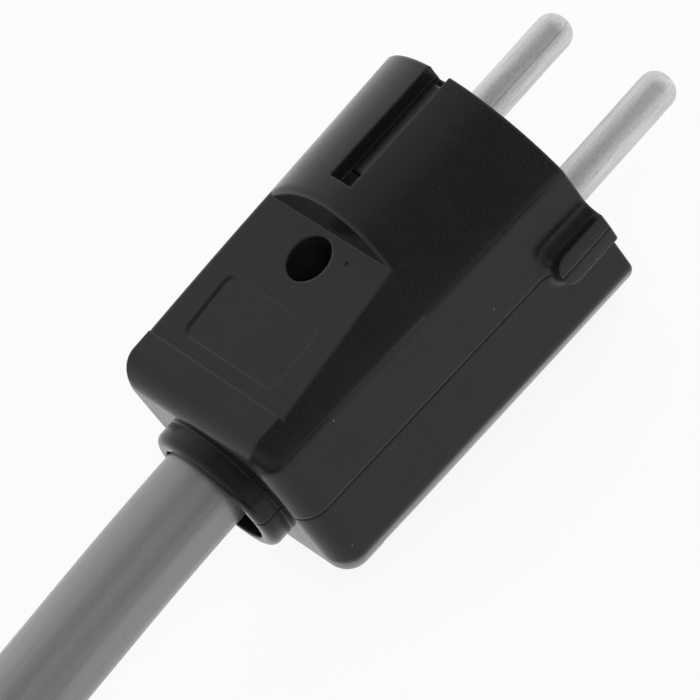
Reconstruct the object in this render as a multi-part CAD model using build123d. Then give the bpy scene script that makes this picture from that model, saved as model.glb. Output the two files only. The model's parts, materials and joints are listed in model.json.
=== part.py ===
from build123d import *
import math
import os

# A mains lead: a rewireable earthed plug, a thick round cord and an appliance connector.
# The plug lies on the round of its lower shell, pins along +Y, seam level. The origin is on
# the floor, under the middle of the plug. Lengths are in millimetres.
# "Depth" is a distance behind the plug's front face.

# Plug housing
body_length = 49.0
side_draft = 0.032
side_flat_cut = 2.6
corner_blend = 2.4
wall = 2.4
front_wall = 2.8
rear_wall = 2.4
rear_edge_radius = 3.4
front_edge_radius = 0.35

# Slanted relief above and below, behind the round front
relief_start = 20.6
relief_lean = 0.31
relief_drop = 4.4
relief_fall = 1.8
relief_edge_radius = 0.9
crease_from_rear = 6.1
crease_step = 0.45

# Bare panel on the upper relief, its floor sunk at the neutral side and rising to the other
panel_start = 32.1
panel_length = 8.8
panel_width = 17.2
panel_sink = 0.25
panel_far_sink = 0.03
panel_corner = 1.2

# Rear collar and the hole that the cord leaves by
collar_length = 3.0
collar_radius = 9.3
collar_edge_radius = 1.2
exit_radius = 7.4

# Guide ribs on both flat sides
rib_length = 8.4
rib_half_height = 2.3
rib_crown_inset = 0.4
rib_end_radius = 1.9
rib_root_radius = 1.6

# Seam between the shells: a fine open line that runs round the outside
seam_gap = 0.16
seam_depth = 0.6

# Earth grooves, top and bottom
groove_length = 17.3
groove_width = 3.8
groove_depth = 2.0
groove_backing = 1.6
groove_side = 1.6

# Pins
pin_radius = 2.4
pin_pitch = 19.0
pin_reach = 19.0
pin_tip_radius = 2.1
pin_root_radius = 2.6
pin_clearance = 0.1
flange_radius = 3.8
flange_length = 1.8
neck_radius = 2.8
barrel_radius = 3.6
barrel_side_space = 0.9
barrel_length = 9.9
wire_bore_radius = 1.55
wire_bore_length = 7.0

# Contact carrier
carrier_gap = 0.1
carrier_length = 8.0
carrier_cheek = 0.9
carrier_corner = 1.2
carrier_half_height = 6.4
carrier_rib = 1.8
slot_clearance = 0.1

# Earth bracket and its terminal
strip_thickness = 0.8
strip_width = 3.3
strip_slot_clearance = 0.15
strip_front = 0.9
strip_nose_radius = 0.6
web_depth = 14.2
earth_plate_half = 4.2
washer_half = 4.0
washer_thickness = 1.0
earth_screw_radius = 1.75
earth_head_radius = 3.1
earth_head_height = 1.7

# Screws
terminal_screw_radius = 1.4
terminal_head_radius = 2.6
terminal_head_height = 2.0
thread_clearance = 0.05
screw_edge_share = 0.2
screw_slot_width = 0.8
screw_slot_depth = 0.9

# Housing screw and nut
screw_depth = 25.8
screw_bore_radius = 3.05
screw_head_radius = 2.85
screw_head_height = 2.2
screw_seat_height = 3.0
screw_radius = 1.95
screw_hole_radius = 2.15
upper_boss_radius = 4.6
lower_boss_radius = 5.4
nut_across_flats = 7.0
nut_pocket_clearance = 0.1
nut_thickness = 3.2
nut_roof = 7.8
screw_past_nut = 0.8

# Cord
cord_radius = 5.6
cord_shift_x = -0.6
cord_shift_z = 1.5
sheath_past_clamp = 1.4
core_radius = 1.8
core_ring = 2.15
core_angle = 30.0
earth_core_angle = 270.0
core_bare = 1.2
core_straight = 4.6
core_spread_end = 27.6
earth_core_straight = 4.0
earth_core_bends = [(-7.8, 29.2, -4.8), (-7.6, 22.6, -7.6)]
earth_core_low = 9.4
earth_core_end = 0.6
ferrule_radius = 1.45
earth_ferrule_radius = 1.15
ferrule_bore_radius = 0.9
ferrule_past_screw = 2.2
earth_ferrule_short = 1.0
arc_share = 0.45
lead_bends = [(58.0, 0.0), (79.5, 1.3)]
lead_level_depth = 97.0

# Cord grip
grip_clearance = 0.05
clamp_from_rear = 9.2
clamp_length = 6.2
clamp_foot_height = 0.3
clamp_foot_thickness = 4.0
clamp_screw_inset = 0.2
clamp_post_radius = 2.9
clamp_post_top = -0.1
clamp_screw_radius = 1.4
clamp_head_radius = 2.3
clamp_head_height = 1.8
clamp_screw_reach = 7.5
cradle_top = -0.2
cradle_side = 1.3

# Coil of the put-away length, two turns wide and two high
coil_turn_radius = 54.3
coil_depth = 150.0
tie_width = 14.0
tie_thickness = 1.2
tie_gap = 0.3
coil_slack = 0.2
coil_edge_radius = 4.0
tie_tail_length = 16.0
tie_turn = 60.0

# Appliance connector
connector_axis_height = 9.5
nose_width = 24.2
nose_height = 15.8
nose_chamfer = 4.4
nose_length = 17.0
grip_width = 28.0
grip_rear_width = 19.0
grip_rear_height = 16.0
grip_length = 22.0
grip_corner = 3.6
grip_ridges = 5
grip_ridge_pitch = 2.4
grip_ridge_width = 1.1
grip_ridge_depth = 0.5
insert_margin = 1.5
insert_length = 15.0
insert_sink = 0.3
insert_clearance = 0.05
blade_pitch = 7.0
blade_offset = 2.0
aperture_width = 2.6
aperture_height = 4.8
contact_wall = 0.4
contact_clearance = 0.1
contact_length = 12.0
contact_sink = 1.5
relief_length = 26.0
relief_big_radius = 7.6
relief_small_radius = 6.5
relief_ring_count = 5
relief_ring_pitch = 4.4
relief_ring_width = 1.8
relief_ring_depth = 0.9

# Cord from the coil to the connector: sideways shift and length of each run
tail_runs = [(0.0, 14.0), (-1.6, 20.0), (0.0, 18.0)]

# Worked out from the sizes above: the pins and their barrels set the width of the housing
front_half_width = pin_pitch / 2 + barrel_radius + barrel_side_space + wall
body_radius = front_half_width + side_flat_cut
relief_front_height = body_radius - relief_drop
relief_rear_height = relief_front_height - relief_fall
rib_crown_radius = body_radius - rib_crown_inset
crease_depth = body_length - crease_from_rear
clamp_front_depth = body_length - clamp_from_rear
cord_end_depth = clamp_front_depth - sheath_past_clamp
carrier_half_width = pin_pitch / 2 + neck_radius + slot_clearance + carrier_cheek
clamp_screw_offset = pin_pitch / 2 - clamp_screw_inset
clamp_half_width = clamp_screw_offset + clamp_head_radius
clamp_arch = clamp_screw_offset - clamp_head_radius - cord_radius
front_y = (body_length + collar_length - pin_reach) / 2
axis_height = body_radius
cord_diameter = 2 * cord_radius
relief_foot_depth = relief_start + relief_lean * (body_radius - relief_front_height)
relief_slope = (relief_front_height - relief_rear_height) / (crease_depth - relief_foot_depth)
groove_floor = body_radius - groove_depth
strip_bottom = groove_floor - strip_thickness
carrier_front = front_wall + carrier_gap
carrier_rear = carrier_front + carrier_length
barrel_front = carrier_rear + carrier_gap
barrel_rear = barrel_front + barrel_length
web_rear = web_depth + strip_thickness
washer_front = web_rear + 2 * earth_ferrule_radius + 2 * thread_clearance
washer_rear = washer_front + washer_thickness
earth_wire_depth = (web_rear + washer_front) / 2
clamp_rear_depth = clamp_front_depth + clamp_length
clamp_depth = (clamp_front_depth + clamp_rear_depth) / 2
margin = 1.0
middle_align = (Align.CENTER, Align.CENTER, Align.MIN)


def rod(radius, start, end, x=0.0, z=0.0):
    """A round bar along Y."""
    return Pos(x, start, z) * Rot(-90, 0, 0) * Cylinder(radius, end - start, align=middle_align)


def post(radius, bottom, top, x=0.0, y=0.0):
    """A round bar along Z."""
    return Pos(x, y, bottom) * Cylinder(radius, top - bottom, align=middle_align)


def block(xs, ys, zs):
    """A box from its two ends along each axis."""
    middle = Pos((xs[0] + xs[1]) / 2, (ys[0] + ys[1]) / 2, (zs[0] + zs[1]) / 2)
    return middle * Box(xs[1] - xs[0], ys[1] - ys[0], zs[1] - zs[0])


def outline(depth, inset):
    """Cross-section of the housing at a depth: round above and below, flat at both sides."""
    side = front_half_width - side_draft * depth - inset
    crest = body_radius - inset
    corner = math.sqrt(crest**2 - (front_half_width - inset) ** 2)
    edges = [
        ThreePointArc((side, corner), (0, crest), (-side, corner)),
        Line((-side, corner), (-side, -corner)),
        ThreePointArc((-side, -corner), (0, -crest), (side, -corner)),
        Line((side, -corner), (side, corner)),
    ]
    face = make_face(edges)
    return Plane.XZ.offset(depth) * fillet(face.vertices(), corner_blend)


def relief_cutter(inset):
    """What the slanted relief takes off the top: leaning front wall, flat, crease step."""
    top = body_radius + margin
    back = body_length + margin
    top_depth = relief_start - relief_lean * margin
    points = [
        (inset - top_depth, top),
        (inset - relief_foot_depth, relief_front_height - inset),
        (-crease_depth, relief_rear_height - inset),
        (-crease_depth, relief_rear_height + crease_step - inset),
        (-back, relief_rear_height + crease_step - inset),
        (-back, top),
    ]
    face = Plane.YZ * make_face(Polyline(*points, close=True))
    return extrude(face, amount=body_radius + margin, both=True)


def relief_edges(form):
    """The curved front edges of both reliefs and their long side edges."""
    found = []
    for edge in form.edges():
        middle = edge.center()
        height = abs(middle.Z)
        crest = height > relief_front_height and relief_start / 2 < -middle.Y < relief_foot_depth
        beside = abs(middle.X) > front_half_width / 2
        long = relief_rear_height < height < relief_front_height and relief_foot_depth < -middle.Y
        if crest or (beside and long and -middle.Y < crease_depth):
            found.append(edge)
    return found


def body_form(inset, start, end, rear_radius=0.0, edge_radius=0.0):
    """The housing without collar, ribs and grooves, drawn inset all round."""
    form = loft([outline(start, inset), outline(end, inset)], ruled=True)
    cutter = relief_cutter(inset)
    form = form - cutter - mirror(cutter, about=Plane.XY)
    if edge_radius > 0:
        form = fillet(relief_edges(form), edge_radius)
    if rear_radius > 0:
        rear = form.faces().sort_by(Axis.Y)[0]
        form = fillet(rear.edges(), rear_radius)
    return form


def guide_rib(crown_radius, length, half_height):
    """One side rib, rounded at its rear end, its crown on a circle round the axis."""
    inner = front_half_width - side_draft * length - margin
    face = Plane.YZ.offset(inner) * Pos(-length / 2, 0) * Rectangle(length, 2 * half_height)
    rear = face.vertices().sort_by(Axis.Y)[:2]
    face = fillet(rear, rib_end_radius)
    prism = extrude(face, amount=body_radius - inner)
    return prism & rod(crown_radius, -length, 0)


def groove_cutter():
    """The open-ended slot over an earth contact."""
    half = groove_width / 2
    return block((-half, half), (-groove_length, margin), (groove_floor, body_radius + margin))


def root_edges(form):
    """The edges where the guide ribs rise from the flat sides."""
    found = []
    for edge in form.edges():
        middle = edge.center()
        beside = abs(abs(middle.X) - front_half_width) < 2 * rib_length * side_draft
        level = abs(middle.Z) < rib_half_height + seam_gap
        along = -rib_length - seam_gap < middle.Y < -seam_gap
        if beside and level and along:
            found.append(edge)
    return found


def housing():
    """The whole outer form of both shells."""
    form = body_form(0.0, 0.0, body_length, rear_edge_radius, relief_edge_radius)
    rib = guide_rib(rib_crown_radius, rib_length, rib_half_height)
    form = form + rib + mirror(rib, about=Plane.YZ)
    form = fillet(root_edges(form), rib_root_radius)
    front = form.faces().sort_by(Axis.Y)[-1]
    form = fillet(front.edges(), front_edge_radius)
    collar = rod(collar_radius, -body_length - collar_length, rear_wall - body_length)
    collar = fillet(collar.edges().sort_by(Axis.Y)[0], collar_edge_radius)
    form = form + collar
    groove = groove_cutter()
    form = form - groove - mirror(groove, about=Plane.XY)
    inner_end = margin + rear_wall - body_length
    return form - rod(exit_radius, -body_length - collar_length - margin, inner_end)


def seam_cutter(form):
    """The thin open line round the outside of the seam, half of it in each shell."""
    half = seam_gap / 2
    reach = body_length + collar_length + margin
    slab = block((-body_radius, body_radius), (-reach, margin), (-half, half))
    rib = guide_rib(rib_crown_radius - seam_depth, rib_length - seam_depth, rib_half_height)
    inner_rear = body_length - seam_depth
    core = body_form(seam_depth, seam_depth, inner_rear, rear_edge_radius - seam_depth)
    core = core + Pos(0, -seam_depth, 0) * (rib + mirror(rib, about=Plane.YZ))
    core = core + rod(collar_radius - seam_depth, seam_depth - body_length - collar_length, -wall)
    return (form & slab) - core


def groove_back():
    """The thicker floor that backs an earth groove."""
    half = groove_width / 2 + groove_side
    low = strip_bottom - groove_backing
    return block((-half, half), (-groove_length - groove_side, 0), (low, body_radius))


def strip_passage():
    """The slot that lets the earth strip sink in its groove and pass inside."""
    half = strip_width / 2 + strip_slot_clearance
    rear = web_rear + strip_slot_clearance
    front = web_depth - strip_slot_clearance
    seat = block((-half, half), (-rear, margin), (strip_bottom, groove_floor + margin))
    way = block((-half, half), (-rear, -front), (carrier_half_height, groove_floor))
    return seat + way


def carrier_ribs():
    """Two cross ribs that hold the contact carrier down."""
    low = carrier_half_height + carrier_gap
    ribs = []
    for depth in (carrier_front, carrier_rear - carrier_rib):
        span = (-carrier_half_width, carrier_half_width)
        ribs.append(block(span, (-depth - carrier_rib, -depth), (low, body_radius)))
    return ribs[0] + ribs[1]


def shell(form, cavity, seam, extra):
    """The upper half of the housing with the parts that both halves share, and extra."""
    reach = body_length + collar_length + margin
    above = block((-body_radius, body_radius), (-reach, margin), (0, body_radius + margin))
    half = (form & above) - cavity
    half = half + ((groove_back() + carrier_ribs() + extra) & form & above)
    half = half - strip_passage() - seam
    for x in (-pin_pitch / 2, pin_pitch / 2):
        half = half - rod(pin_root_radius + pin_clearance, -front_wall - margin, margin, x)
    return half


def panel_cutter():
    """What the panel takes off the slanted flat, down to its tilted floor."""
    depth = panel_start + panel_length / 2
    height = relief_front_height - relief_slope * (depth - relief_foot_depth)
    flat = Plane(origin=(0, -depth, height), x_dir=(1, 0, 0), z_dir=(0, -relief_slope, 1))
    panel = RectangleRounded(panel_width, panel_length, panel_corner)
    prism = extrude(panel, amount=margin, both=True)
    tilt = math.degrees(math.atan((panel_sink - panel_far_sink) / panel_width))
    span = (-margin, panel_width + margin)
    above = block(span, (-panel_length, panel_length), (0, 2 * margin))
    above = Pos(-panel_width / 2, 0, -panel_sink) * Rot(0, -tilt, 0) * above
    return flat.location * (prism & above)


def upper_shell(form, cavity, seam):
    """Upper shell: deep screw bore through its boss, and the sunken panel."""
    boss = post(upper_boss_radius, 0, body_radius, 0, -screw_depth)
    half = shell(form, cavity, seam, boss)
    half = half - post(screw_bore_radius, screw_seat_height, body_radius, 0, -screw_depth)
    half = half - post(screw_hole_radius, -margin, body_radius, 0, -screw_depth)
    return half - panel_cutter()


def nut_pocket():
    """Six-sided pocket that opens through the lower relief."""
    radius = nut_across_flats / 2 + nut_pocket_clearance
    face = Pos(0, -screw_depth, -nut_roof) * RegularPolygon(radius, 6, major_radius=False)
    return extrude(face, amount=-body_radius)


def cord_seat(radius, start, end):
    """A round bar on the line of the cord inside the plug."""
    return rod(radius, -end, -start, cord_shift_x, cord_shift_z)


def clamp_screw_places():
    """The two clamp screws stand at equal distances from the cord."""
    return [cord_shift_x - clamp_screw_offset, cord_shift_x + clamp_screw_offset]


def lower_shell(form, cavity, seam):
    """Lower shell: nut boss, cord cradle and the posts of the cord grip."""
    boss = post(lower_boss_radius, 0, body_radius, 0, -screw_depth)
    half = mirror(shell(form, cavity, seam, boss), about=Plane.XY)
    reach = cord_radius + cradle_side
    xs = (cord_shift_x - reach, cord_shift_x + reach)
    cradle = block(xs, (-clamp_rear_depth, -clamp_front_depth), (-body_radius, cradle_top))
    fixed = cradle - cord_seat(cord_radius + grip_clearance, 0, body_length)
    for x in clamp_screw_places():
        fixed = fixed + post(clamp_post_radius, -body_radius, clamp_post_top, x, -clamp_depth)
    inside = body_form(wall / 2, front_wall, body_length - rear_wall / 2)
    half = half + (fixed & inside)
    hole = clamp_screw_radius + thread_clearance
    for x in clamp_screw_places():
        low = -clamp_screw_reach - thread_clearance
        half = half - post(hole, low, body_radius, x, -clamp_depth)
    half = half - post(screw_hole_radius, -body_radius, margin, 0, -screw_depth)
    return half - nut_pocket()


def pin(x):
    """A solid pin: rounded tip, root in the front wall, flange, neck and wire barrel."""
    tip = rod(pin_radius, -margin, pin_reach, x)
    tip = fillet(tip.edges().sort_by(Axis.Y)[-1], pin_tip_radius)
    root = rod(pin_root_radius, -carrier_front, 0, x)
    flange = rod(flange_radius, -carrier_front - flange_length, -carrier_front, x)
    neck = rod(neck_radius, -barrel_front, -carrier_front - flange_length, x)
    barrel = rod(barrel_radius, -barrel_rear, -barrel_front, x)
    whole = tip + root + flange + neck + barrel
    bore_end = wire_bore_length - barrel_rear
    whole = whole - rod(wire_bore_radius, -barrel_rear - margin, bore_end, x)
    tapped = terminal_screw_radius + thread_clearance
    return whole - post(tapped, 0, barrel_radius + margin, x, -terminal_depth())


def terminal_depth():
    """Depth of the terminal screws, over the middle of the wire bores."""
    return barrel_rear - wire_bore_length / 2


def slotted_screw(radius, head_radius, head_height, start, seat):
    """A cheese-head screw on the Z axis, slotted, from its tip to its head's top."""
    screw = post(radius, start, seat)
    head = post(head_radius, seat, seat + head_height)
    head = fillet(head.edges().sort_by(Axis.Z)[-1], screw_edge_share * head_height)
    screw = screw + head
    half = screw_slot_width / 2
    top = seat + head_height
    slot = block((-head_radius, head_radius), (-half, half), (top - screw_slot_depth, top + margin))
    return screw - slot


def terminal_screw(x):
    """A screw that presses on the ferrule in a pin."""
    seat = barrel_radius + thread_clearance
    tip = ferrule_radius + thread_clearance
    screw = slotted_screw(
        terminal_screw_radius, terminal_head_radius, terminal_head_height, tip, seat
    )
    return Pos(x, -terminal_depth(), 0) * screw


def contact_carrier():
    """Insulating bridge: the pins drop into its two slots from above."""
    half = carrier_half_width
    span = (-carrier_rear, -carrier_front)
    body = block((-half, half), span, (-carrier_half_height, carrier_half_height))
    body = fillet(body.edges().filter_by(Axis.Y), carrier_corner)
    flange_rear = carrier_front + flange_length + slot_clearance
    for x in (-pin_pitch / 2, pin_pitch / 2):
        for radius, rear in ((neck_radius, carrier_rear + margin), (flange_radius, flange_rear)):
            wide = radius + slot_clearance
            front = margin - carrier_front
            body = body - rod(wide, -rear, front, x)
            top = carrier_half_height + margin
            body = body - block((x - wide, x + wide), (-rear, front), (0, top))
    return body


def earth_bracket():
    """One bent strip: a leg in each earth groove, joined by a web with the earth plate."""
    half = strip_width / 2
    leg = block((-half, half), (-web_rear, -strip_front), (strip_bottom, groove_floor))
    nose = leg.edges().filter_by(Axis.X).group_by(Axis.Y)[-1].sort_by(Axis.Z)[-1]
    leg = fillet(nose, strip_nose_radius)
    web = block((-half, half), (-web_rear, -web_depth), (-groove_floor, groove_floor))
    plate_half = earth_plate_half
    plate = block((-plate_half, plate_half), (-web_rear, -web_depth), (-plate_half, plate_half))
    bracket = leg + mirror(leg, about=Plane.XY) + web + plate
    bend = bracket.edges().filter_by(Axis.X).group_by(Axis.Y)[0]
    bracket = fillet([bend.sort_by(Axis.Z)[0], bend.sort_by(Axis.Z)[-1]], strip_nose_radius)
    hole = earth_screw_radius + thread_clearance
    return bracket - rod(hole, -web_rear - margin, margin - web_depth)


def earth_washer():
    """Square clamping washer behind the earth ferrule."""
    half = washer_half
    plate = block((-half, half), (-washer_rear, -washer_front), (-half, half))
    hole = earth_screw_radius + thread_clearance
    return plate - rod(hole, -washer_rear - margin, margin - washer_front)


def earth_terminal_screw():
    """The earth screw points forward through washer and plate."""
    reach = washer_rear - web_depth + strip_thickness
    screw = slotted_screw(earth_screw_radius, earth_head_radius, earth_head_height, -reach, 0)
    return Pos(0, -washer_rear, 0) * Rot(90, 0, 0) * screw


def housing_screw():
    """The long screw that closes the housing, its head deep in the upper bore."""
    tip = -nut_roof - nut_thickness - screw_past_nut
    seat = screw_seat_height
    screw = slotted_screw(screw_radius, screw_head_radius, screw_head_height, tip, seat)
    return Pos(0, -screw_depth, 0) * screw


def housing_nut():
    """Six-sided nut at the roof of its pocket."""
    face = RegularPolygon(nut_across_flats / 2, 6, major_radius=False)
    nut = extrude(face, amount=-nut_thickness) - post(
        screw_radius + thread_clearance, -nut_thickness - margin, margin
    )
    return Pos(0, -screw_depth, -nut_roof) * nut


def clamp_bar():
    """Arched cord grip with a flat foot at each side."""
    span = (-clamp_rear_depth, -clamp_front_depth)
    foot_top = clamp_foot_height + clamp_foot_thickness
    half = clamp_half_width
    xs = (cord_shift_x - half, cord_shift_x + half)
    feet = block(xs, span, (clamp_foot_height, foot_top))
    arch = cord_seat(cord_radius + clamp_arch, clamp_front_depth, clamp_rear_depth)
    arch = arch & block(xs, span, (clamp_foot_height, body_radius))
    bar = feet + arch - cord_seat(cord_radius + grip_clearance, 0, body_length)
    for x in clamp_screw_places():
        hole = clamp_screw_radius + thread_clearance
        bar = bar - post(hole, -margin, body_radius, x, -clamp_depth)
    return bar


def clamp_screws():
    """Two equal screws through the feet of the clamp bar."""
    seat = clamp_foot_height + clamp_foot_thickness
    screw = slotted_screw(
        clamp_screw_radius, clamp_head_radius, clamp_head_height, -clamp_screw_reach, seat
    )
    return [Pos(x, -clamp_depth, 0) * screw for x in clamp_screw_places()]


def arc_radii(points):
    """The radius at each corner of a route, from a share of the shorter run."""
    radii = []
    for before, here, after in zip(points, points[1:], points[2:]):
        first = Vector(here) - Vector(before)
        second = Vector(after) - Vector(here)
        half_turn = math.radians(first.get_angle(second)) / 2
        radii.append(arc_share * min(first.length, second.length) / math.tan(half_turn))
    return radii


def tube(name, points, radius, hollow=0.0):
    """A round tube along straight runs joined by tangent arcs."""
    radii = arc_radii(points)
    path = FilletPolyline(*points, radius=radii)
    section = Plane(origin=path @ 0, z_dir=path % 0) * Circle(radius)
    made = sweep(section, path=path)
    if hollow > 0:
        made = made - sweep(Plane(origin=path @ 0, z_dir=path % 0) * Circle(hollow), path=path)
    ratio = made.volume / (math.pi * (radius**2 - hollow**2) * path.length)
    print(name, "length", round(path.length, 1), "radii", [round(r) for r in radii],
          "volume share", round(ratio, 4))
    return made


def core_start(angle):
    """Where a core leaves the cut end of the sheath."""
    x = cord_shift_x + core_ring * math.cos(math.radians(angle))
    z = cord_shift_z + core_ring * math.sin(math.radians(angle))
    return x, z


def pin_core(side):
    """A core that passes the screw boss and ends at a pin's wire bore."""
    x, z = core_start(core_angle if side > 0 else 180 - core_angle)
    pin_x = side * pin_pitch / 2
    points = [
        (x, -cord_end_depth, z),
        (x, core_straight - cord_end_depth, z),
        (pin_x, -core_spread_end, 0),
        (pin_x, -barrel_rear - core_bare, 0),
    ]
    return tube("core", points, core_radius)


def earth_core():
    """The earth core passes under a pin barrel and rises to the earth plate."""
    x, z = core_start(earth_core_angle)
    wire_x = earth_wire_x()
    points = [(x, -cord_end_depth, z), (x, earth_core_straight - cord_end_depth, z)]
    for bend_x, depth, bend_z in earth_core_bends:
        points.append((bend_x, -depth, bend_z))
    points.append((wire_x, -earth_wire_depth, -earth_core_low))
    points.append((wire_x, -earth_wire_depth, -earth_plate_half - earth_core_end))
    return tube("earth core", points, core_radius)


def earth_wire_x():
    """The earth ferrule stands beside the earth screw."""
    return -earth_screw_radius - earth_ferrule_radius - 2 * thread_clearance


def ferrules():
    """Three ferrules: two in the pins, one under the earth washer."""
    made = []
    for x in (-pin_pitch / 2, pin_pitch / 2):
        start = -barrel_rear - core_bare
        sleeve = rod(ferrule_radius, start, -terminal_depth() + ferrule_past_screw, x)
        made.append(sleeve - rod(ferrule_bore_radius, start - margin, start + 2 * margin, x))
    low = -earth_plate_half - earth_core_end
    high = earth_plate_half - earth_ferrule_short
    made.append(post(earth_ferrule_radius, low, high, earth_wire_x(), -earth_wire_depth))
    return made


def row(shape):
    """Moves a piece of the plug from the front-face centre into the lead's own frame."""
    return Pos(0, front_y, axis_height) * shape


def bottom_layer():
    """Height of the lower turns: the coil lies on its two ties."""
    return tie_thickness + tie_gap + cord_radius


def outer_turn():
    return coil_turn_radius + cord_diameter


def coil_centre():
    """The coil lies behind the plug, beside the line of the cord."""
    return cord_shift_x + outer_turn(), front_y - coil_depth


def clear_of_ring():
    """How far along its tangent a cord runs before it is clear of the coil."""
    outer = outer_turn() + cord_radius + coil_slack
    return math.sqrt(outer**2 - (outer_turn() - cord_radius) ** 2)


def lead_points():
    """The cord from the cut sheath in the plug to the coil's top layer."""
    x = cord_shift_x
    top = bottom_layer() + cord_diameter
    exit_z = axis_height + cord_shift_z
    end = coil_centre()[1] + clear_of_ring()
    points = [(x, front_y - cord_end_depth, exit_z)]
    for depth, droop in lead_bends:
        points.append((x, front_y - depth, exit_z - droop))
    return points + [(x, front_y - lead_level_depth, top), (x, end, top)]


def tail_points():
    """The cord from the coil's lower outer turn to the connector."""
    x = coil_centre()[0] + outer_turn()
    y = coil_centre()[1] + clear_of_ring()
    z = bottom_layer()
    points = [(x, y, z)]
    heights = [bottom_layer(), connector_axis_height, connector_axis_height]
    for (shift, run), z in zip(tail_runs, heights):
        x = x + shift
        y = y + run
        points.append((x, y, z))
    return points


def coil():
    """The outer shape of the wound turns, with the two short ends that leave it."""
    x, y = coil_centre()
    inner = coil_turn_radius - cord_radius - coil_slack
    outer = outer_turn() + cord_radius + coil_slack
    low = bottom_layer() - cord_radius - coil_slack
    high = low + 2 * cord_diameter + 2 * coil_slack
    ring = post(outer, low, high, x, y) - post(inner, low - margin, high + margin, x, y)
    ring = fillet(ring.edges(), coil_edge_radius)
    reach = clear_of_ring()
    top = bottom_layer() + cord_diameter
    arriving = rod(cord_radius, y, y + reach, x - outer_turn(), top)
    leaving = rod(cord_radius, y, y + reach, x + outer_turn(), bottom_layer())
    return ring + arriving + leaving


def tie_section():
    """Cross-section of a strap round the coil, in the plane through the coil's axis."""
    size = 2 * cord_diameter + 2 * tie_gap
    outer_size = size + 2 * tie_thickness
    outer = RectangleRounded(outer_size, outer_size, coil_edge_radius + tie_thickness)
    strap = outer - RectangleRounded(size, size, coil_edge_radius)
    tail = Pos(outer_size / 2, 0) * Rectangle(2 * tie_thickness, tie_tail_length)
    return strap + (tail - RectangleRounded(size, size, coil_edge_radius))


def coil_ties():
    """Two straps round the coil, each with its overlapped end outside."""
    x, y = coil_centre()
    middle = coil_turn_radius + cord_radius
    height = bottom_layer() + cord_radius
    angle = math.degrees(tie_width / middle)
    face = Plane.XZ * (Pos(middle, height) * tie_section())
    strap = revolve(face, Axis.Z, angle)
    return [Pos(x, y, 0) * Rot(0, 0, turn - angle / 2) * strap for turn in (-tie_turn, tie_turn)]


def nose_outline(inset):
    """The connector's plug-in section: a rectangle with two cut corners."""
    half_width = nose_width / 2 - inset
    half_height = nose_height / 2 - inset
    cut = nose_chamfer - inset / 2
    points = [
        (-half_width, -half_height),
        (half_width, -half_height),
        (half_width, half_height - cut),
        (half_width - cut, half_height),
        (cut - half_width, half_height),
        (-half_width, half_height - cut),
    ]
    return make_face(Polyline(*points, close=True))


def connector_frame():
    """The connector's rear end, with +Z of this frame along the cord's last run."""
    before, last = tail_points()[-2:]
    way = Vector(last) - Vector(before)
    return Plane(origin=last, x_dir=(0, 0, -1), z_dir=way).location * Rot(0, 0, 90)


def blade_places():
    """Line, neutral and earth, seen on the connector's face."""
    return [(-blade_pitch, -blade_offset), (blade_pitch, -blade_offset), (0, blade_offset)]


def connector_body():
    """Soft moulded body: tapered grip with ridges, and the plug-in nose."""
    start = relief_length
    grip_height = 2 * connector_axis_height
    rear = Pos(0, 0, start) * RectangleRounded(grip_rear_width, grip_rear_height, grip_corner)
    shoulder = start + grip_length / 2
    front_size = RectangleRounded(grip_width, grip_height, grip_corner)
    grip = loft([rear, Pos(0, 0, shoulder) * front_size], ruled=True)
    grip = grip + extrude(Pos(0, 0, shoulder) * front_size, amount=grip_length / 2)
    front = grip.faces().sort_by(Axis.Z)[-1]
    grip = fillet(front.edges(), grip_ridge_width)
    nose_start = start + grip_length
    nose = extrude(Pos(0, 0, nose_start - margin) * nose_outline(0), amount=nose_length + margin)
    body = grip + nose
    for number in range(grip_ridges):
        z = shoulder + number * grip_ridge_pitch - grip_ridge_pitch / 2
        for side in (-1, 1):
            x = side * grip_width / 2
            xs = (x - grip_ridge_depth, x + grip_ridge_depth)
            half = grip_height / 2 - grip_corner
            body = body - block(xs, (-half, half), (z, z + grip_ridge_width))
    face = nose_start + nose_length
    pocket = Pos(0, 0, face - insert_length) * nose_outline(insert_margin)
    return body - extrude(pocket, amount=insert_length + margin)


def connector_insert():
    """Hard block with three slots for the appliance's blades."""
    face = relief_length + grip_length + nose_length
    section = Pos(0, 0, face - insert_length) * nose_outline(insert_margin + insert_clearance)
    made = extrude(section, amount=insert_length - insert_sink)
    for x, y in blade_places():
        wide = aperture_width / 2
        high = aperture_height / 2
        hollow = contact_sink + contact_length + contact_clearance
        slot = block((x - wide, x + wide), (y - high, y + high), (face - hollow, face + margin))
        made = made - slot
    return made


def spring_contact(x, y):
    """A twin-leaf contact folded from one strip, open towards the face."""
    face = relief_length + grip_length + nose_length
    wide = aperture_width / 2 - contact_clearance
    high = aperture_height / 2 - contact_clearance
    low = face - contact_sink - contact_length
    outer = block((x - wide, x + wide), (y - high, y + high), (low, low + contact_length))
    thin = wide - contact_wall
    gap = block(
        (x - thin, x + thin), (y - high - margin, y + high + margin),
        (low + contact_wall, low + contact_length + margin),
    )
    return outer - gap


def strain_relief():
    """Tapered sleeve with rings of slack cut round it."""
    sleeve = Cone(relief_small_radius, relief_big_radius, relief_length, align=middle_align)
    for number in range(relief_ring_count):
        z = relief_ring_width + number * relief_ring_pitch
        outer = Cylinder(relief_big_radius + margin, relief_ring_width, align=middle_align)
        ring = Pos(0, 0, z) * outer
        taper = (relief_big_radius - relief_small_radius) / relief_length
        root = relief_small_radius + taper * z - relief_ring_depth
        hub = Pos(0, 0, z) * Cylinder(root, relief_ring_width, align=middle_align)
        reach = (-relief_big_radius, relief_big_radius)
        keep = block(reach, (-margin, margin), (z, z + relief_ring_width))
        sleeve = sleeve - (ring - hub - keep)
    return sleeve


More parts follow.
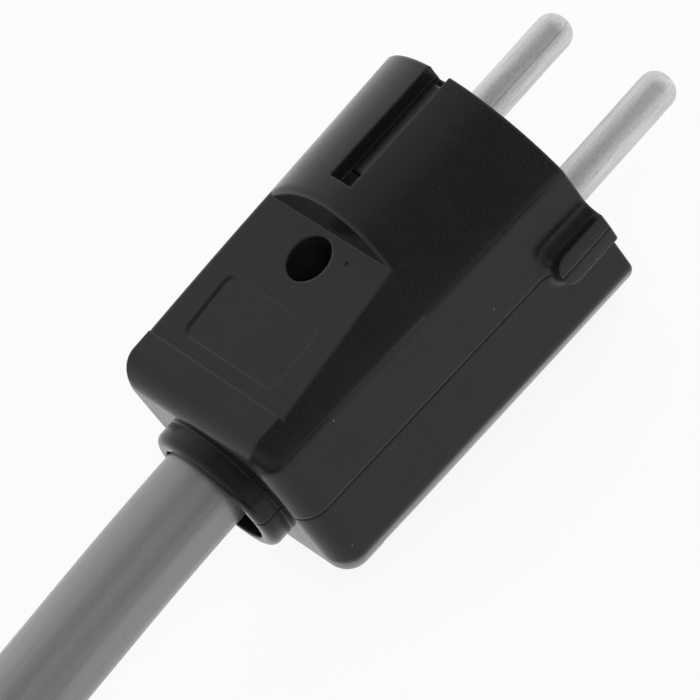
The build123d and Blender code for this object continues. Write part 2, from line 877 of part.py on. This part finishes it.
def save(name, shape):
    """Writes one sub-part, or a group of equal ones."""
    if isinstance(shape, list):
        shape = Compound(children=shape)
    export_step(shape, f"parts/{name}.step")


def main():
    os.makedirs("parts", exist_ok=True)
    form = housing()
    cavity = body_form(wall, front_wall, body_length - rear_wall)
    seam = seam_cutter(form)
    half_pitch = pin_pitch / 2
    plug = {
        "upper_shell": upper_shell(form, cavity, seam),
        "lower_shell": lower_shell(form, cavity, seam),
        "line_pin": pin(half_pitch),
        "neutral_pin": pin(-half_pitch),
        "line_terminal_screw": terminal_screw(half_pitch),
        "neutral_terminal_screw": terminal_screw(-half_pitch),
        "contact_carrier": contact_carrier(),
        "earth_bracket": earth_bracket(),
        "earth_washer": earth_washer(),
        "earth_terminal_screw": earth_terminal_screw(),
        "clamp_bar": clamp_bar(),
        "housing_screw": housing_screw(),
        "housing_nut": housing_nut(),
        "line_core": pin_core(1),
        "neutral_core": pin_core(-1),
        "earth_core": earth_core(),
    }
    for name, shape in plug.items():
        save(name, row(shape))
    save("clamp_screws", [row(screw) for screw in clamp_screws()])
    save("core_ferrules", [row(ferrule) for ferrule in ferrules()])
    save("cord_tube", tube("cord", lead_points(), cord_radius))
    save("cord_coil", coil())
    save("cord_tail", tube("tail", tail_points(), cord_radius))
    save("coil_ties", coil_ties())
    place = connector_frame()
    names = ("line", "neutral", "earth")
    connector = {
        "connector_body": connector_body(),
        "connector_insert": connector_insert(),
        "connector_strain_relief": strain_relief(),
    }
    for name, (x, y) in zip(names, blade_places()):
        connector[f"connector_{name}_contact"] = spring_contact(x, y)
    for name, shape in connector.items():
        save(name, place * shape)


main()
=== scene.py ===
import json
import math

import bmesh
import bpy
from mathutils import Matrix, Vector


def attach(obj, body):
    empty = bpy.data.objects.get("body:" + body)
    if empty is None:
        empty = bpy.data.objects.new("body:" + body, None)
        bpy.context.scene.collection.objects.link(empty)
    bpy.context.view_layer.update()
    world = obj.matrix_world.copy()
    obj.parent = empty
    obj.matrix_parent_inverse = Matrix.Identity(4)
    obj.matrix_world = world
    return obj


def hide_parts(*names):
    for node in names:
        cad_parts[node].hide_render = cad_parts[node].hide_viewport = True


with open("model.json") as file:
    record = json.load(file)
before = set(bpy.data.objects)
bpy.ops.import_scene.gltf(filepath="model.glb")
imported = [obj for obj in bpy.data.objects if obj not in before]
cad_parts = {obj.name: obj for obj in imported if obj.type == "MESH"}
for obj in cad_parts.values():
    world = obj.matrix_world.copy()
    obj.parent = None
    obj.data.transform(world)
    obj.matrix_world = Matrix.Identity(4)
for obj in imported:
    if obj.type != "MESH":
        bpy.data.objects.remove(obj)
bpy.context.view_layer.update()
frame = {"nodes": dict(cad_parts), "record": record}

# A mains lead in its own frame, in metres: plug on the floor, pins along +Y.

# Camera of the photograph
camera_place = Vector((0.49216, -0.13002, 0.51842))
camera_right = Vector((0.60749, 0.65971, -0.44242))
camera_up = Vector((-0.39045, 0.73305, 0.55694))
camera_lens = 315.49
camera_sensor = 36.0
camera_near = 0.01
camera_far = 20.0

# Plug, as in the part's source
axis_height = 0.019
front_y = 0.0165
pin_half_pitch = 0.0095
relief_foot_depth = 0.021964
relief_front_height = 0.0146
relief_rear_height = 0.0128
crease_depth = 0.0429

# Moulding pip on the slanted flat, placed from the front face and the middle
pip_depth = 0.02405
pip_side = 0.0051
pip_radius = 0.00032
pip_flatness = 0.5

# The fine draw line on the line pin, round from level, and its half width
scratch_angle = math.radians(31.0)
scratch_half_width = 0.00007

# Cord: the same route as in the part's source
cord_radius = 0.0056
lead_points = [
    (-0.0006, -0.0219, 0.0205),
    (-0.0006, -0.0415, 0.0205),
    (-0.0006, -0.0630, 0.0192),
    (-0.0006, -0.0805, 0.0183),
    (-0.0006, -0.0948, 0.0183),
]
tail_points = [
    (0.1304, -0.0948, 0.0071),
    (0.1304, -0.0808, 0.0071),
    (0.1288, -0.0608, 0.0095),
    (0.1288, -0.0428, 0.0095),
]

# Coil: two wide and two high. Its steps are in degrees after the entry.
coil_centre = Vector((0.0649, -0.1335))
inner_turn = 0.0543
outer_turn = inner_turn + 2 * cord_radius
lower_layer = 0.0071
upper_layer = lower_layer + 2 * cord_radius
coil_turns = 3.5
points_per_turn = 24
inward_step = (300, 360)
down_step = (600, 660)
outward_step = (900, 960)

# Sheath of the cord. Its noise runs on a unit circle, and changes slowly along the whole cord.
sheath_dark = 0.145
sheath_light = 0.235
sheath_streak = 0.142
sheath_warmth = -0.03
sheath_changes = 14.0
band_scale_round = 2.3
streak_scale_round = 9.0
streak_share = 0.5
streak_depth = 0.0001
sheath_ior = 1.7

# Surface of the plastics: noise scales per metre, lengths, grey levels, and shares of a full mix
cloud_scale = 140.0
pit_scale = 4600.0
pit_depth = 0.00003
pit_lightening = 1.7
pit_share = 0.7

# Worn edges, from full to none by the cosine between the rounded and the true normal
wear_radius = 0.0003
wear_full = 0.86
wear_none = 0.995
wear_level = 0.09
wear_share = 0.2

# Dust: its size in cells of its noise, and the chance that a cell has a speck
dust_scale = 260.0
dust_size = 0.04
dust_chance = 0.46
dust_level = 0.3
dust_share = 0.45

# Surface of the metals, with tones as shares of the metal's own
band_scale = 420.0
band_tone = 0.82
line_scale = 2600.0
line_depth = 0.00002
line_tone = 0.6
line_share = 0.42
speck_scale = 2200.0
speck_stretch = 2.5
speck_tone = 1.25
speck_share = 0.4
scratch_tone = 0.3
scratch_share = 0.6
metal_rounding = 0.0001

# Moulded finishes. The tone drifts between dark and light.
plastics = {
    "housing_black": {
        "dark": 0.007, "light": 0.01, "roughness": 0.2, "grain": 0.26,
        "specular": 0.25, "warmth": -0.14, "rounding": 0.00045,
    },
    "connector_black": {
        "dark": 0.014, "light": 0.02, "roughness": 0.6, "grain": 0.5, "specular": 0.3,
    },
    "insert_black": {
        "dark": 0.012, "light": 0.015, "roughness": 0.38, "grain": 0.2, "specular": 0.4,
    },
    "carrier_resin": {
        "dark": 0.46, "light": 0.52, "roughness": 0.45, "grain": 0.3, "specular": 0.4,
    },
}

# Metal finishes. The stretch is below 1 along the drawn lines.
metals = {
    "pin_nickel": {
        "tone": 0.73, "warmth": -0.015, "roughness": 0.5, "stretch": (1.0, 0.08, 1.0),
        "metallic": 0.8, "scratched": True,
    },
    # The strip's tone is far darker than nickel: painted shade for the shaded groove it lies in
    "strip_nickel": {
        "tone": 0.12, "warmth": 0.0, "roughness": 0.42, "stretch": (1.0, 0.08, 1.0),
    },
    "screw_steel": {
        "tone": 0.55, "warmth": 0.01, "roughness": 0.36, "stretch": (1.0, 1.0, 0.2),
    },
    "ferrule_tin": {
        "tone": 0.7, "warmth": 0.02, "roughness": 0.32, "stretch": (1.0, 0.2, 1.0),
    },
    "contact_brass": {
        "tone": 0.6, "warmth": 0.3, "roughness": 0.3, "stretch": (1.0, 0.1, 1.0),
    },
}

# Surface of the cores
core_cloud_scale = 300.0
core_grain_scale = 1500.0
core_grain_depth = 0.00003

# Core finishes: two colours, and a scale where they form stripes
cores = {
    "core_brown": {"first": (0.10, 0.035, 0.015, 1), "second": (0.14, 0.05, 0.022, 1)},
    "core_blue": {"first": (0.015, 0.07, 0.30, 1), "second": (0.02, 0.10, 0.38, 1)},
    "core_green_yellow": {
        "first": (0.05, 0.26, 0.03, 1), "second": (0.62, 0.55, 0.03, 1), "stripes": 160.0,
    },
}

# Surface of the straps round the coil
thread_up = 520.0
thread_across = 430.0
fuzz_scale = 3500.0
weave_depth = 0.00015
strap_dark = 0.009
strap_light = 0.03
strap_sheen = 0.25

# Floor. Its white share is what the camera and reflections see as plain white.
floor_half = 4.0
floor_cloud_scale = 3.0
floor_dark = 0.9
floor_light = 0.93
floor_white = 0.9

# Tent: shades towards one round, dark opening, given by cosines from its middle
open_side = (0.593, -0.173, 0.786)
shade_start = 0.05
opening_rim = 0.64
opening_middle = 0.87
tent_pale = 0.97
tent_shade = 0.58
tent_dark = 0.15

# Softbox, aimed at the middle of the plug
lamp_place = (0.75, -0.05, 0.85)
lamp_target = (0.0, 0.0, axis_height)
lamp_size = 0.7
lamp_watts = 5.6


def make_camera():
    """A long lens that looks down on the plug from its right and slightly behind."""
    data = bpy.data.cameras.new("camera")
    data.lens = camera_lens
    data.sensor_width = camera_sensor
    data.clip_start = camera_near
    data.clip_end = camera_far
    camera = bpy.data.objects.new("camera", data)
    right = camera_right.normalized()
    back = right.cross(camera_up).normalized()
    turn = Matrix((right, back.cross(right), back)).transposed().to_4x4()
    camera.matrix_world = Matrix.Translation(camera_place) @ turn
    bpy.context.scene.collection.objects.link(camera)
    bpy.context.scene.camera = camera


def smooth_step(value, limits):
    """0 before the limits, 1 after them and a smooth rise between."""
    share = min(1.0, max(0.0, (value - limits[0]) / (limits[1] - limits[0])))
    return share * share * (3 - 2 * share)


def coil_points():
    """Control points from the top outer turn inward, down, and out to the bottom outer turn.

    They lie a little outside the circles, so that the smooth curve runs on them."""
    step = 360.0 / points_per_turn
    widening = 1.0 / math.cos(math.radians(step / 2))
    points = []
    for number in range(round(coil_turns * points_per_turn)):
        progress = (number + 0.5) * step
        inward = smooth_step(progress, inward_step) - smooth_step(progress, outward_step)
        radius = (outer_turn - (outer_turn - inner_turn) * inward) * widening
        height = upper_layer - (upper_layer - lower_layer) * smooth_step(progress, down_step)
        angle = math.pi + math.radians(progress)
        x = coil_centre.x + radius * math.cos(angle)
        y = coil_centre.y + radius * math.sin(angle)
        points.append((x, y, height))
    return points


def make_cord():
    """One smooth spline from the cord grip in the plug, through the coil, to the connector.

    Each point's own radius sets the thickness, so the bevel depth is 1."""
    route = lead_points + coil_points() + tail_points
    curve = bpy.data.curves.new("cord", "CURVE")
    curve.dimensions = "3D"
    curve.bevel_depth = 1.0
    curve.bevel_resolution = 9
    curve.resolution_u = 8
    spline = curve.splines.new("NURBS")
    spline.points.add(len(route) - 1)
    for point, place in zip(spline.points, route):
        point.co = (*place, 1.0)
        point.radius = cord_radius
    spline.order_u = 3
    spline.use_endpoint_u = True
    cord = bpy.data.objects.new("cord", curve)
    bpy.context.scene.collection.objects.link(cord)
    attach(cord, "root")
    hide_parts("cord_tube", "cord_coil", "cord_tail")
    return cord


def new_material(name):
    """A node material, its node tree and its shader."""
    material = bpy.data.materials.new(name)
    material.use_nodes = True
    return material, material.node_tree, material.node_tree.nodes["Principled BSDF"]


def add(tree, kind, inputs, **settings):
    """A node whose inputs are set to values or linked to other nodes' outputs."""
    made = tree.nodes.new(kind)
    for name, value in settings.items():
        setattr(made, name, value)
    for name, value in inputs.items():
        if isinstance(value, bpy.types.NodeSocket):
            tree.links.new(value, made.inputs[name])
        else:
            made.inputs[name].default_value = value
    return made


def place_vector(tree, scale=(1.0, 1.0, 1.0)):
    """Places on the object in metres, stretched by a scale."""
    place = add(tree, "ShaderNodeTexCoord", {}).outputs["Object"]
    return add(tree, "ShaderNodeMapping", {"Vector": place, "Scale": scale}).outputs["Vector"]


def noise(tree, vector, scale, detail=3.0):
    """Soft random levels, mostly between 0.3 and 0.7."""
    inputs = {"Vector": vector, "Scale": scale, "Detail": detail}
    return add(tree, "ShaderNodeTexNoise", inputs).outputs["Fac"]


def spread(tree, value, low, high, from_low=0.3, from_high=0.7):
    """A value carried from one range to another."""
    inputs = {
        "Value": value, "From Min": from_low, "From Max": from_high, "To Min": low, "To Max": high,
    }
    return add(tree, "ShaderNodeMapRange", inputs).outputs["Result"]


def mix(tree, share, first, second):
    """The first colour at share 0, the second at share 1."""
    inputs = {"Fac": share, "Color1": first, "Color2": second}
    return add(tree, "ShaderNodeMixRGB", inputs).outputs["Color"]


def math_node(tree, operation, *values):
    """One operation on one or two values."""
    inputs = dict(enumerate(values))
    return add(tree, "ShaderNodeMath", inputs, operation=operation).outputs["Value"]


def plus(tree, first, second):
    """Both values added."""
    return math_node(tree, "ADD", first, second)


def times(tree, first, second):
    """Both values multiplied."""
    return math_node(tree, "MULTIPLY", first, second)


def grey(level, warmth=0.0):
    """A near-grey colour."""
    return (level * (1 + warmth), level, level * (1 - warmth), 1.0)


def rounded_normal(tree, radius):
    """Normals that round off the hard edges."""
    return add(tree, "ShaderNodeBevel", {"Radius": radius}, samples=6).outputs["Normal"]


def bump(tree, height, strength, distance, normal=None):
    """Normals of a relief, on top of other normals where they are given."""
    inputs = {"Height": height, "Strength": strength, "Distance": distance}
    if normal is not None:
        inputs["Normal"] = normal
    return add(tree, "ShaderNodeBump", inputs).outputs["Normal"]


def edge_wear(tree):
    """1 on sharp edges, 0 on flats: how far the rounded normal turns from the true one."""
    rounded = rounded_normal(tree, wear_radius)
    true = add(tree, "ShaderNodeNewGeometry", {}).outputs["Normal"]
    dot = add(tree, "ShaderNodeVectorMath", {0: rounded, 1: true}, operation="DOT_PRODUCT")
    return spread(tree, dot.outputs["Value"], 1.0, 0.0, wear_full, wear_none)


def dust(tree):
    """Sparse small specks: near the middle of some cells."""
    inputs = {"Vector": place_vector(tree), "Scale": dust_scale, "Randomness": 1.0}
    cells = add(tree, "ShaderNodeTexVoronoi", inputs)
    near = spread(tree, cells.outputs["Distance"], 1.0, 0.0, dust_size * 0.6, dust_size)
    chosen = math_node(tree, "LESS_THAN", cells.outputs["Color"], dust_chance)
    return times(tree, near, chosen)


def plastic(name, dark, light, roughness, grain, specular, warmth=0.0, rounding=0.00018):
    """Matt moulded plastic: spark-eroded grain, cloudy tone, worn edges and a little dust."""
    material, tree, shader = new_material(name)
    place = place_vector(tree)
    cloud = noise(tree, place, cloud_scale)
    colour = mix(tree, spread(tree, cloud, 0.0, 1.0), grey(dark, warmth), grey(light, warmth))
    pits = noise(tree, place, pit_scale, detail=2.0)
    pitted = spread(tree, pits, 0.0, pit_share)
    colour = mix(tree, pitted, colour, grey(light * pit_lightening, warmth))
    worn = times(tree, edge_wear(tree), wear_share)
    colour = mix(tree, worn, colour, grey(wear_level, warmth))
    dusty = times(tree, dust(tree), dust_share)
    colour = mix(tree, dusty, colour, grey(dust_level))
    tree.links.new(colour, shader.inputs["Base Color"])
    drift = spread(tree, cloud, low=roughness - 0.03, high=roughness + 0.04)
    rough = plus(tree, drift, spread(tree, pits, low=-0.04, high=0.06))
    tree.links.new(rough, shader.inputs["Roughness"])
    normal = bump(tree, pits, grain, pit_depth, rounded_normal(tree, rounding))
    tree.links.new(normal, shader.inputs["Normal"])
    shader.inputs["Specular IOR Level"].default_value = specular
    return material


def draw_line(tree):
    """1 along a hair-fine scratch on the line pin, 0 elsewhere."""
    parts = add(tree, "ShaderNodeSeparateXYZ", {"Vector": place_vector(tree)}).outputs
    out = plus(tree, parts["X"], pin_half_pitch)
    up = math_node(tree, "SUBTRACT", parts["Z"], axis_height)
    cos = math.cos(scratch_angle)
    sin = math.sin(scratch_angle)
    aside = math_node(tree, "SUBTRACT", times(tree, up, cos), times(tree, out, sin))
    facing = plus(tree, times(tree, out, cos), times(tree, up, sin))
    distance = math_node(tree, "ABSOLUTE", aside)
    thin = spread(tree, distance, 1.0, 0.0, scratch_half_width * 0.4, scratch_half_width)
    near_side = math_node(tree, "GREATER_THAN", facing, 0.0)
    on_line_pin = math_node(tree, "LESS_THAN", parts["X"], 0.0)
    return times(tree, thin, times(tree, near_side, on_line_pin))


def drawn_metal(name, tone, warmth, roughness, stretch, metallic=1.0, scratched=False):
    """Satin metal: fine lines and soft bands along its drawing direction, and small specks."""
    material, tree, shader = new_material(name)
    lines = noise(tree, place_vector(tree, stretch), line_scale)
    bands = noise(tree, place_vector(tree, stretch), band_scale, detail=2.0)
    across = tuple(speck_stretch if share < 1.0 else 1.0 for share in stretch)
    specks = noise(tree, place_vector(tree, across), speck_scale)
    dull = grey(tone * band_tone, warmth)
    colour = mix(tree, spread(tree, bands, 0.0, 1.0), dull, grey(tone, warmth))
    lined = spread(tree, lines, 0.0, line_share, from_low=0.5, from_high=0.7)
    colour = mix(tree, lined, colour, grey(tone * line_tone, warmth))
    specked = spread(tree, specks, 0.0, speck_share, from_low=0.36, from_high=0.64)
    colour = mix(tree, specked, colour, grey(tone * speck_tone, warmth))
    if scratched:
        scratch = times(tree, draw_line(tree), scratch_share)
        colour = mix(tree, scratch, colour, grey(tone * scratch_tone))
    tree.links.new(colour, shader.inputs["Base Color"])
    rough_lines = spread(tree, lines, low=-0.05, high=0.06)
    uneven = plus(tree, rough_lines, spread(tree, specks, low=-0.03, high=0.04))
    tree.links.new(plus(tree, uneven, roughness), shader.inputs["Roughness"])
    rounded = rounded_normal(tree, metal_rounding)
    normal = bump(tree, lines, strength=0.25, distance=line_depth, normal=rounded)
    tree.links.new(normal, shader.inputs["Normal"])
    shader.inputs["Metallic"].default_value = metallic
    return material


def cord_material():
    """Drawn grey sheath: soft streaks that run along the cord, and a slightly uneven gloss."""
    material, tree, shader = new_material("cord_grey")
    map_out = add(tree, "ShaderNodeTexCoord", {}).outputs["UV"]
    parts = add(tree, "ShaderNodeSeparateXYZ", {"Vector": map_out})
    turn = times(tree, parts.outputs["Y"], math.tau)
    along = times(tree, parts.outputs["X"], sheath_changes)
    round_x = math_node(tree, "COSINE", turn)
    round_y = math_node(tree, "SINE", turn)
    inputs = {"X": along, "Y": round_x, "Z": round_y}
    ring = add(tree, "ShaderNodeCombineXYZ", inputs).outputs["Vector"]
    wide = noise(tree, ring, band_scale_round, detail=2.0)
    fine = noise(tree, ring, streak_scale_round)
    dark = grey(sheath_dark, sheath_warmth)
    light = grey(sheath_light, sheath_warmth)
    colour = mix(tree, spread(tree, wide, 0.0, 1.0), dark, light)
    streak = grey(sheath_streak, sheath_warmth)
    colour = mix(tree, spread(tree, fine, 0.0, streak_share), colour, streak)
    tree.links.new(colour, shader.inputs["Base Color"])
    tree.links.new(spread(tree, fine, low=0.22, high=0.32), shader.inputs["Roughness"])
    normal = bump(tree, fine, strength=0.2, distance=streak_depth)
    tree.links.new(normal, shader.inputs["Normal"])
    shader.inputs["Specular IOR Level"].default_value = 1.0
    shader.inputs["IOR"].default_value = sheath_ior
    return material


def core_material(name, first, second, stripes=0.0):
    """Smooth core insulation, with stripes where it has two colours."""
    material, tree, shader = new_material(name)
    place = place_vector(tree)
    cloud = noise(tree, place, core_cloud_scale)
    share = spread(tree, cloud, 0.0, 1.0)
    if stripes > 0:
        wave = add(tree, "ShaderNodeTexWave", {"Vector": place, "Scale": stripes})
        share = spread(tree, wave.outputs["Fac"], 0.0, 1.0, from_low=0.45, from_high=0.55)
    tree.links.new(mix(tree, share, first, second), shader.inputs["Base Color"])
    tree.links.new(spread(tree, cloud, low=0.26, high=0.38), shader.inputs["Roughness"])
    grain = noise(tree, place, core_grain_scale)
    normal = bump(tree, grain, strength=0.2, distance=core_grain_depth)
    tree.links.new(normal, shader.inputs["Normal"])
    return material


def strap_material():
    """Woven strap: crossing threads from two waves, fuzzy and dull."""
    material, tree, shader = new_material("strap_black")
    place = place_vector(tree)
    threads = []
    for scale, direction in ((thread_up, "Z"), (thread_across, "DIAGONAL")):
        inputs = {"Vector": place, "Scale": scale}
        wave = add(tree, "ShaderNodeTexWave", inputs, bands_direction=direction)
        threads.append(wave.outputs["Fac"])
    weave = times(tree, *threads)
    fuzz = noise(tree, place, fuzz_scale, detail=4.0)
    cloth = plus(tree, weave, times(tree, fuzz, 0.5))
    colour = mix(tree, cloth, grey(strap_dark), grey(strap_light))
    tree.links.new(colour, shader.inputs["Base Color"])
    tree.links.new(spread(tree, fuzz, low=0.75, high=0.95), shader.inputs["Roughness"])
    normal = bump(tree, cloth, strength=0.7, distance=weave_depth)
    tree.links.new(normal, shader.inputs["Normal"])
    shader.inputs["Sheen Weight"].default_value = strap_sheen
    return material


def make_materials():
    """One material for each slot."""
    made = {}
    for name, finish in plastics.items():
        made[name] = plastic(name, **finish)
    for name, finish in metals.items():
        made[name] = drawn_metal(name, **finish)
    made["cord_grey"] = cord_material()
    for name, finish in cores.items():
        made[name] = core_material(name, **finish)
    made["strap_black"] = strap_material()
    return made


def dress_nodes(materials, cord):
    """Each CAD node gets its slot's material, and the cord gets its own."""
    for part in frame["record"]["subparts"]:
        node = frame["nodes"][part["node"]]
        finish = materials[part["material_slot"]]
        node.data.materials.clear()
        node.data.materials.append(finish)
    cord.data.materials.append(materials["cord_grey"])


def relief_height(depth):
    """Height of the slanted flat above the seam, at a depth behind the front face."""
    share = (depth - relief_foot_depth) / (crease_depth - relief_foot_depth)
    return relief_front_height - (relief_front_height - relief_rear_height) * share


def make_pip(materials):
    """A small moulding pip on the slanted flat, beside the screw bore."""
    mesh = bpy.data.meshes.new("moulding_pip")
    form = bmesh.new()
    bmesh.ops.create_uvsphere(form, u_segments=20, v_segments=12, radius=pip_radius)
    bmesh.ops.scale(form, vec=(1.0, 1.0, pip_flatness), verts=form.verts)
    form.to_mesh(mesh)
    form.free()
    mesh.materials.append(materials["housing_black"])
    for face in mesh.polygons:
        face.use_smooth = True
    pip = bpy.data.objects.new("moulding_pip", mesh)
    pip.location = (pip_side, front_y - pip_depth, axis_height + relief_height(pip_depth))
    bpy.context.scene.collection.objects.link(pip)
    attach(pip, "root")


def make_floor():
    """A pale floor that looks white to the camera and keeps a soft shadow."""
    mesh = bpy.data.meshes.new("floor")
    half = floor_half
    corners = [(-half, -half, 0), (half, -half, 0), (half, half, 0), (-half, half, 0)]
    mesh.from_pydata(corners, [], [(0, 1, 2, 3)])
    floor = bpy.data.objects.new("floor", mesh)
    bpy.context.scene.collection.objects.link(floor)
    material, tree, shader = new_material("floor_pale")
    cloud = noise(tree, place_vector(tree), floor_cloud_scale)
    colour = mix(tree, spread(tree, cloud, 0.0, 1.0), grey(floor_dark), grey(floor_light))
    tree.links.new(colour, shader.inputs["Base Color"])
    shader.inputs["Roughness"].default_value = 0.9
    shader.inputs["Specular IOR Level"].default_value = 0.0
    white = add(tree, "ShaderNodeEmission", {"Color": grey(1.0), "Strength": 1.0})
    seen = add(tree, "ShaderNodeLightPath", {}).outputs
    rays = math_node(tree, "MAXIMUM", seen["Is Camera Ray"], seen["Is Glossy Ray"])
    share = times(tree, rays, floor_white)
    inputs = {0: share, 1: shader.outputs["BSDF"], 2: white.outputs["Emission"]}
    both = add(tree, "ShaderNodeMixShader", inputs)
    tree.links.new(both.outputs["Shader"], tree.nodes["Material Output"].inputs["Surface"])
    mesh.materials.append(material)


def make_world():
    """A studio tent: pale, with a soft shade round its dark opening."""
    world = bpy.data.worlds.new("studio")
    bpy.context.scene.world = world
    world.use_nodes = True
    tree = world.node_tree
    way = add(tree, "ShaderNodeTexCoord", {}).outputs["Generated"]
    dot = add(tree, "ShaderNodeVectorMath", {0: way, 1: open_side}, operation="DOT_PRODUCT")
    towards = dot.outputs["Value"]
    near = spread(tree, towards, 0.0, 1.0, shade_start, opening_rim)
    inside = spread(tree, towards, 0.0, 1.0, opening_rim, opening_middle)
    wall = mix(tree, near, grey(tent_pale), grey(tent_shade))
    tone = mix(tree, inside, wall, grey(tent_dark))
    tree.links.new(tone, tree.nodes["Background"].inputs["Color"])


def make_lamp():
    """A square softbox that leaves reflections to the tent."""
    data = bpy.data.lights.new("soft_light", "AREA")
    data.shape = "SQUARE"
    data.size = lamp_size
    data.energy = lamp_watts
    lamp = bpy.data.objects.new("soft_light", data)
    lamp.location = lamp_place
    way = Vector(lamp_target) - Vector(lamp_place)
    lamp.rotation_mode = "QUATERNION"
    lamp.rotation_quaternion = way.to_track_quat("-Z", "Y")
    lamp.visible_glossy = False
    bpy.context.scene.collection.objects.link(lamp)


bpy.context.scene.view_settings.view_transform = "Standard"
make_camera()
the_cord = make_cord()
the_materials = make_materials()
dress_nodes(the_materials, the_cord)
make_pip(the_materials)
make_floor()
make_world()
make_lamp()

bpy.context.view_layer.update()
